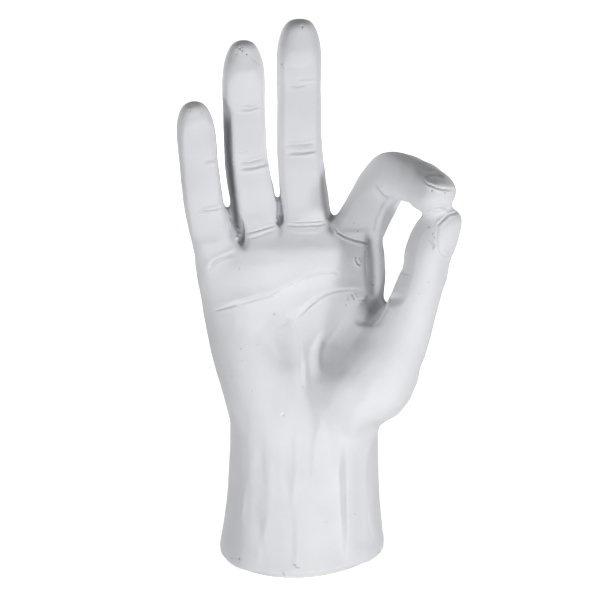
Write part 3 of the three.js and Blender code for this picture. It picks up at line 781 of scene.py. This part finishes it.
# x, y, radius, darkness: dirt with painted shade in the pit
PINHOLES = [
    (302.5, 26.7, 1.0, 0.9), (281.7, 64.5, 0.7, 0.9), (236.7, 54.5, 0.7, 0.9),
    (246.7, 54.5, 0.9, 1.0), (190.3, 107, 0.7, 0.9), (190.3, 111, 0.7, 0.7),
    (201.7, 112.5, 0.6, 0.6), (354, 223, 0.6, 0.5), (358, 231, 0.7, 0.9),
    (432, 190.6, 0.9, 0.9), (445, 193, 0.8, 0.9), (444, 183, 0.6, 0.6), (428.7, 226.9, 0.9, 0.6),
    (432.5, 233.7, 0.7, 0.6), (434.4, 236.9, 0.8, 0.8), (433, 247.5, 0.8, 0.5),
    (428.7, 282, 0.7, 0.4), (418.7, 293.7, 0.6, 0.3), (274, 314, 0.9, 0.7),
    (240.8, 349, 0.6, 0.9), (257.5, 344.7, 0.6, 0.6), (241.7, 360.8, 0.6, 0.5),
    (239, 268.7, 0.7, 0.4), (302.5, 387, 0.6, 0.7), (283, 415, 1.2, 0.25),
    (326.7, 522, 1.0, 0.15), (355, 513.8, 0.8, 0.3), (239, 558.7, 0.9, 1.0),
    (231.7, 558, 0.8, 0.4), (268, 577, 1.0, 0.8), (283, 578, 1.4, 0.8), (379.7, 553, 1.2, 0.9),
    (240, 48, 1.0, 0.4), (242, 51, 0.8, 0.4), (346, 305, 0.6, 0.7), (233.5, 152, 0.8, 0.3),
    (236, 180, 0.7, 0.3), (281, 206, 0.9, 0.8), (280, 216, 0.9, 0.8), (279, 198, 0.7, 0.6),
    (256, 60, 0.5, 0.3), (221, 381, 0.6, 0.3), (232, 376, 0.7, 0.2), (251, 391, 0.7, 0.15),
    (222, 364, 0.6, 0.3), (306, 60, 0.5, 0.3), (193, 131, 0.5, 0.3), (210, 121, 0.5, 0.5),
]
# Line, depth, half width, darkness: dirt with painted shade in the scratch
SCRATCHES = [
    ([(250, 57), (255, 61), (260, 65.8)], 0.2, 0.5, 0.15),
    ([(237, 45), (240, 49), (244, 51)], 0.25, 0.7, 0.3), ([(240, 45), (243, 48)], 0.2, 0.6, 0.3),
    ([(292.8, 565), (294.8, 564.6), (296.2, 566.8), (298.6, 568)], 0.3, 0.4, 0.6),
    ([(283, 572), (284, 578)], 0.4, 0.8, 0.3), ([(436, 246), (443, 256)], 0.2, 0.6, 0.1),
    ([(429, 240), (434, 246), (433, 249)], 0.3, 0.7, 0.2),
    # painted shade at the root of the index finger's nail
    ([(426, 177), (430.5, 174), (438, 174), (443, 176.5)], 0.3, 1.7, 0.32),
]
# Painted shade. Line, half width, strength
PAINTED_SHADE_LINES = [
    # painted shade between the fingers, on top of the index finger, in the pocket and in the furrow
    # below the index finger
    ([(225, 108), (227.5, 124), (228.5, 150), (231.5, 180), (235, 205), (237, 228), (240, 240)],
     3.9, 0.85),
    ([(326.5, 222), (325.5, 207), (323.2, 190), (321.8, 172)], 2.0, 0.4),
    ([(281, 196), (281.5, 212), (282, 226)], 1.8, 0.35),
    ([(399, 170), (410, 173), (420, 178)], 7.0, 0.08),
    ([(363, 297), (372, 304), (380, 312)], 10.0, 0.48),
    ([(368, 232), (371, 262), (372, 304)], 3.8, 0.62),
    ([(359, 292), (369, 296)], 3.0, 0.12),
    # painted shade: a faint grey in the hollows of the palm, in the thumb's shadow on the palm, and
    # along the sides of the palm, wrist and thumb
    ([(328, 330), (340, 346), (362, 348)], 14.0, 0.08),
    ([(262, 322), (278, 345), (292, 375)], 10.0, 0.08),
    ([(347, 236), (352, 262), (350, 296)], 12.0, 0.08),
    ([(230, 410), (234, 480), (228, 560)], 9.0, 0.07),
    ([(206, 285), (216, 350), (230, 410)], 8.0, 0.07),
    ([(378, 425), (374, 480), (380, 550)], 6.0, 0.08),
    ([(414, 240), (408, 270), (396, 305)], 5.0, 0.07),
]
# Small crumbs of plaster: x, y, half width, rise
CRUMBS = [
    (232.5, 159, 1.4, 0.5), (233.5, 163, 1.2, 0.4), (235.5, 194, 1.5, 0.5), (238, 197, 1.2, 0.4),
    (237.5, 228, 1.5, 0.7), (239.5, 234, 1.6, 0.8), (236.5, 238, 1.3, 0.6), (242, 240, 1.4, 0.5),
    (368.5, 241.5, 1.1, 0.7), (366, 249, 1.0, 0.5), (372, 285.5, 1.2, 0.5), (374, 278, 1.4, 0.4),
    (436, 208, 1.2, 0.4), (441, 206.5, 1.3, 0.4), (446, 207.5, 1.2, 0.4), (283.5, 213, 1.0, 0.4),
]
INDEX_NAIL = [
    (423.8, 178), (425, 174), (430.7, 172), (439.3, 172.8), (446.4, 176), (453, 181),
    (455.8, 186), (454.3, 188.6), (449.3, 189.4), (442, 189.3), (435, 187.1), (428, 183.8),
]
THUMB_NAIL = [
    (441, 222.5), (450.5, 215.6), (458, 213.6), (465, 216), (464, 236), (458, 250), (452.5, 254),
    (446, 256), (441, 252), (437.5, 245), (437.4, 234),
]
LINE_MARGIN = 3.0
SPOT_MARGIN = 2.2
# painted shade in the creases
CREASE_SHADE = 0.26  # for each millimetre of depth
PINHOLE_DEPTH = 0.55  # millimetres for each pixel of radius


def refine(body):
    """A finer mesh, divided again where lines and spots go."""
    use_modifier(body, "REMESH", mode="VOXEL", voxel_size=voxel(FINE_VOXEL))
    clay = Clay(body)
    clay.relax(5)
    set_positions(body.data, clay.points)
    lines = [stroke[0] for stroke in CREASES + SCRATCHES]
    lines += [outline + outline[:1] for outline in (INDEX_NAIL, THUMB_NAIL)]
    spots = [spot[:2] for spot in PINHOLES + CRUMBS]
    divide(body, Clay(body).marked(lines, [], LINE_MARGIN))
    divide(body, Clay(body).marked([], spots, SPOT_MARGIN))


def press_fine_lines(clay):
    for crease in CREASES:
        clay.groove(*crease)
    clay.look()
    # each nail's bed, then its plate
    clay.swell(432, 177, 8, 4.2, -1.3, 24)
    clay.plate(INDEX_NAIL, 0.25, 1.0)
    clay.swell(445, 185.5, 9, 3, 0.6, 14)
    clay.plate(THUMB_NAIL, 0.15, 1.6)
    clay.look()
    for line, depth, width, _ in SCRATCHES:
        clay.groove(line, depth, width, 0.3)
    for x, y, wide, rise in CRUMBS:
        clay.swell(x, y, wide, wide * 0.8, rise, 30)
    for x, y, radius, _ in PINHOLES:
        clay.swell(x, y, radius, radius, -PINHOLE_DEPTH * radius)


def thin_out(body):
    triangles = sum(len(face.vertices) - 2 for face in body.data.polygons)
    if triangles > MOST_TRIANGLES:
        use_modifier(body, "DECIMATE", ratio=MOST_TRIANGLES / triangles)


def paint_dust_and_shade(body):
    """Painted shade along creases, in corners, between the fingers, in hollows and on shaded sides,
    and dirt with painted shade in pinholes and scratches, as an attribute for the material.
    """
    clay = Clay(body)
    dust_and_shade = np.zeros(len(clay.points))
    # dirt with painted shade in the pinholes
    for x, y, radius, darkness in PINHOLES:
        picked = clay.inside((x, y), (x, y), 3 * radius)
        away = np.linalg.norm(clay.place[picked] - (x, y), axis=1)
        dust_and_shade[picked] = np.maximum(dust_and_shade[picked], darkness * bell(away, 0.75 * radius))
    # painted shade along the listed lines
    for line, width, strength in PAINTED_SHADE_LINES:
        picked = clay.around(line, 3 * width)
        away, _, share = clay.line_at(line, picked)
        darkness = strength * fade_ends(share, 0.15)
        dust_and_shade[picked] = np.maximum(dust_and_shade[picked], darkness * bell(away, width))
    # painted shade along the creases, darker where they are deeper
    for line, depth, width, *_ in CREASES:
        picked = clay.around(line, 3 * width)
        away, _, share = clay.line_at(line, picked)
        darkness = CREASE_SHADE * max(depth, 0) * fade_ends(share, 0.2)
        dust_and_shade[picked] = np.maximum(dust_and_shade[picked], darkness * bell(away, 0.6 * width))
    # dirt with painted shade in the scratches
    for line, _, width, darkness in SCRATCHES:
        picked = clay.around(line, 3 * width)
        away, _, _ = clay.line_at(line, picked)
        dust_and_shade[picked] = np.maximum(dust_and_shade[picked], darkness * bell(away, width))
    layer = body.data.attributes.new("dust_and_shade", "FLOAT", "POINT")
    layer.data.foreach_set("value", dust_and_shade)


# The finished casting

hand = rounded_body()
clay = with_flats(hand)
press_forms(clay)
shape_back(clay)
clay.relax(4)
set_positions(hand.data, clay.points)
add_waves(hand)
refine(hand)
clay = Clay(hand)
press_fine_lines(clay)
draw_back_lines(clay)
set_positions(hand.data, clay.points)
thin_out(hand)
paint_dust_and_shade(hand)

alone(hand)
bpy.ops.object.shade_smooth()
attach(hand, "root")
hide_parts("hand_casting")


# Materials

PLASTER_SHADE = "#DCDDE1"
PLASTER_LIGHT = "#E6E7EA"
# dark colour mixed in for painted shade and for dirt
DIRT_AND_SHADE = "#3E3F42"
FELT = "#EDEDEB"
STEEL = "#8B8F94"
PAPER = "#E8E8E8"

# Width of each pattern, in mm
PLASTER_CLOUD = 45.45
PLASTER_TOOTH = 2.38
FELT_FIBRE = 1.11
WIRE_GRAIN = 3.33


def linear(hex_colour):
    """sRGB hex to the shader's linear colour."""
    values = [int(hex_colour[i:i + 2], 16) / 255 for i in (1, 3, 5)]
    return [v / 12.92 if v <= 0.04045 else ((v + 0.055) / 1.055) ** 2.4 for v in values] + [1]


def scale_of(width):
    """Noise scale of a pattern that is width millimetres wide."""
    return 1 / (width * MM)


def new_material(name):
    material = bpy.data.materials.new(name)
    material.use_nodes = True
    return material, material.node_tree, material.node_tree.nodes["Principled BSDF"]


def add_node(tree, kind, inputs=None, **settings):
    node = tree.nodes.new(kind)
    for name, value in settings.items():
        setattr(node, name, value)
    for name, value in (inputs or {}).items():
        if isinstance(value, bpy.types.NodeSocket):
            tree.links.new(value, node.inputs[name])
        else:
            node.inputs[name].default_value = value
    return node


def cast_plaster():
    """Cast plaster, rubbed down by hand: dull and chalky, with soft clouds of tone.

    A dark colour is mixed in by a mesh attribute: painted shade along creases, between the fingers,
    in hollows and on shaded sides, and dirt with painted shade in pinholes and scratches. The tooth
    is drawn coarser than real grains, so that it shows."""
    material, tree, shader = new_material("matt_white_plaster")
    place = add_node(tree, "ShaderNodeTexCoord").outputs["Object"]
    cloud = add_node(tree, "ShaderNodeTexNoise", {
        "Vector": place, "Scale": scale_of(PLASTER_CLOUD), "Detail": 3.0,
    })
    tooth = add_node(tree, "ShaderNodeTexNoise", {
        "Vector": place, "Scale": scale_of(PLASTER_TOOTH), "Detail": 2.0,
    })
    tone = add_node(tree, "ShaderNodeValToRGB", {"Fac": cloud.outputs["Fac"]})
    tone.color_ramp.elements[0].position = 0.3
    tone.color_ramp.elements[0].color = linear(PLASTER_SHADE)
    tone.color_ramp.elements[1].position = 0.7
    tone.color_ramp.elements[1].color = linear(PLASTER_LIGHT)
    # painted shade and dirt, read from the mesh attribute
    dust_and_shade = add_node(tree, "ShaderNodeAttribute", attribute_name="dust_and_shade").outputs["Fac"]
    darkened_tone = add_node(tree, "ShaderNodeMix", {
        "Factor": dust_and_shade, 6: tone.outputs["Color"], 7: linear(DIRT_AND_SHADE),
    }, data_type="RGBA")
    tree.links.new(darkened_tone.outputs[2], shader.inputs["Base Color"])
    bump = add_node(tree, "ShaderNodeBump", {
        "Height": tooth.outputs["Fac"], "Strength": 0.25, "Distance": 0.15 * MM,
    })
    tree.links.new(bump.outputs["Normal"], shader.inputs["Normal"])
    shader.inputs["Roughness"].default_value = 0.75
    shader.inputs["Specular IOR Level"].default_value = 0.35
    return material


def grained(name, colour, roughness, grain_width, metallic=0.0):
    """A material whose grain shows as a slightly darker tone and a shallow relief."""
    material, tree, shader = new_material(name)
    place = add_node(tree, "ShaderNodeTexCoord").outputs["Object"]
    grain = add_node(tree, "ShaderNodeTexNoise", {
        "Vector": place, "Scale": scale_of(grain_width), "Detail": 4.0,
    })
    tone = add_node(tree, "ShaderNodeValToRGB", {"Fac": grain.outputs["Fac"]})
    tone.color_ramp.elements[0].color = [0.7 * value for value in linear(colour)[:3]] + [1]
    tone.color_ramp.elements[1].color = linear(colour)
    tree.links.new(tone.outputs["Color"], shader.inputs["Base Color"])
    bump = add_node(tree, "ShaderNodeBump", {
        "Height": grain.outputs["Fac"], "Strength": 0.6, "Distance": 0.4 * MM,
    })
    tree.links.new(bump.outputs["Normal"], shader.inputs["Normal"])
    shader.inputs["Roughness"].default_value = roughness
    shader.inputs["Metallic"].default_value = metallic
    return material


def dress(obj, material):
    obj.data.materials.clear()
    obj.data.materials.append(material)


white_plaster = cast_plaster()
dress(hand, white_plaster)
dress(frame["nodes"]["base_plug"], white_plaster)
# pressed wool felt: dull, with short fibres that break up its tone, drawn coarse to show
dress(frame["nodes"]["felt_pad"], grained("pressed_white_felt", FELT, 0.95, FELT_FIBRE))
# drawn steel wire: grey metal with a faint grain from the die
steel = grained("drawn_steel_wire", STEEL, 0.4, WIRE_GRAIN, 1.0)
for name, node in frame["nodes"].items():
    if name.endswith("_wire"):
        dress(node, steel)


# Floor, light and camera

FLOOR_SIZE = 6
# Glow of the white floor close round the foot and further out, and where it changes, in metres
GLOW_AT_FOOT = 0.8
GLOW_BEYOND = 1.0
GLOW_RISES = (0.12, 0.45)
ROOM_LIGHT = 0.05
LAMPS_AIM = 0.17  # height in metres
# Name, azimuth from the camera's side, distance, height and size in metres, power in watts
LAMPS = [
    ("left_softbox", -50, 1.7, 0.15, 0.12, 8.2),
    ("right_softbox", 56, 1.7, 0.45, 0.12, 12.4),
    ("low_front_lamp", 10, 0.36, 0.04, 0.06, 0.42),
    ("back_left_softbox", 215, 1.7, 0.7, 0.5, 16),
    ("back_right_softbox", 150, 1.7, 0.2, 0.5, 8),
]
SENSOR_WIDTH = 36
WHITE = (1, 1, 1, 1)


def white_where_seen(tree, plain, white):
    """White to the eye, in reflections and through glass, and plain to all other light."""
    ray = add_node(tree, "ShaderNodeLightPath").outputs
    seen = add_node(tree, "ShaderNodeMath", {
        0: ray["Is Camera Ray"], 1: ray["Is Glossy Ray"],
    }, operation="MAXIMUM")
    seen = add_node(tree, "ShaderNodeMath", {
        0: seen.outputs["Value"], 1: ray["Is Transmission Ray"],
    }, operation="MAXIMUM")
    return add_node(tree, "ShaderNodeMixShader", {"Fac": seen.outputs["Value"], 1: plain, 2: white})


bpy.ops.object.select_all(action="DESELECT")
bpy.ops.mesh.primitive_plane_add(size=FLOOR_SIZE, location=(0, 0, 0))
floor = bpy.context.active_object
floor.name = "floor"
# matt white paper, evenly dull, with no pattern that shows
paper, paper_tree, paper_shader = new_material("white_paper_floor")
paper_shader.inputs["Base Color"].default_value = linear(PAPER)
paper_shader.inputs["Roughness"].default_value = 0.9
# round the foot the glow is weaker, so that the shadow under the rim stays
place = add_node(paper_tree, "ShaderNodeTexCoord").outputs["Object"]
away = add_node(paper_tree, "ShaderNodeVectorMath", {0: place}, operation="LENGTH")
glow = add_node(paper_tree, "ShaderNodeMapRange", {
    "Value": away.outputs["Value"], "From Min": GLOW_RISES[0], "From Max": GLOW_RISES[1],
    "To Min": GLOW_AT_FOOT, "To Max": GLOW_BEYOND,
})
white = add_node(paper_tree, "ShaderNodeEmission", {
    "Color": WHITE, "Strength": glow.outputs["Result"],
})
lit = add_node(paper_tree, "ShaderNodeAddShader", {
    0: paper_shader.outputs["BSDF"], 1: white.outputs["Emission"],
})
blend = white_where_seen(paper_tree, paper_shader.outputs["BSDF"], lit.outputs["Shader"])
paper_tree.links.new(blend.outputs["Shader"], paper_tree.nodes["Material Output"].inputs["Surface"])
dress(floor, paper)

world = bpy.data.worlds.new("studio")
bpy.context.scene.world = world
world.use_nodes = True
sky = world.node_tree
backdrop = sky.nodes["Background"]
seen = add_node(sky, "ShaderNodeBackground", {"Color": WHITE, "Strength": 1.0})
backdrop.inputs["Color"].default_value = (0.95, 0.97, 1.0, 1)
backdrop.inputs["Strength"].default_value = ROOM_LIGHT
blend = white_where_seen(sky, backdrop.outputs["Background"], seen.outputs["Background"])
sky.links.new(blend.outputs["Shader"], sky.nodes["World Output"].inputs["Surface"])


def soft_light(name, azimuth, distance, height, size, power):
    """An area light aimed at the middle of the hand; azimuth 0 is the camera's side."""
    turn = math.radians(azimuth)
    place = (distance * math.sin(turn), -distance * math.cos(turn), height)
    bpy.ops.object.select_all(action="DESELECT")
    bpy.ops.object.light_add(type="AREA", location=place)
    lamp = bpy.context.active_object
    lamp.name = name
    lamp.rotation_euler = (math.pi / 2 - math.atan2(height - LAMPS_AIM, distance), 0, turn)
    lamp.data.size = size
    lamp.data.energy = power
    lamp.visible_camera = False


for lamp in LAMPS:
    soft_light(*lamp)

bpy.ops.object.select_all(action="DESELECT")
bpy.ops.object.camera_add(
    location=tuple(EYE * MM), rotation=(math.pi / 2 - CAMERA_ELEVATION, 0, 0)
)
camera = bpy.context.active_object
camera.data.sensor_width = SENSOR_WIDTH
camera.data.lens = SENSOR_WIDTH * FOCAL_PX / (2 * MIDDLE_PX)
camera.data.clip_end = 20
bpy.context.scene.camera = camera
bpy.context.scene.view_settings.view_transform = "Standard"
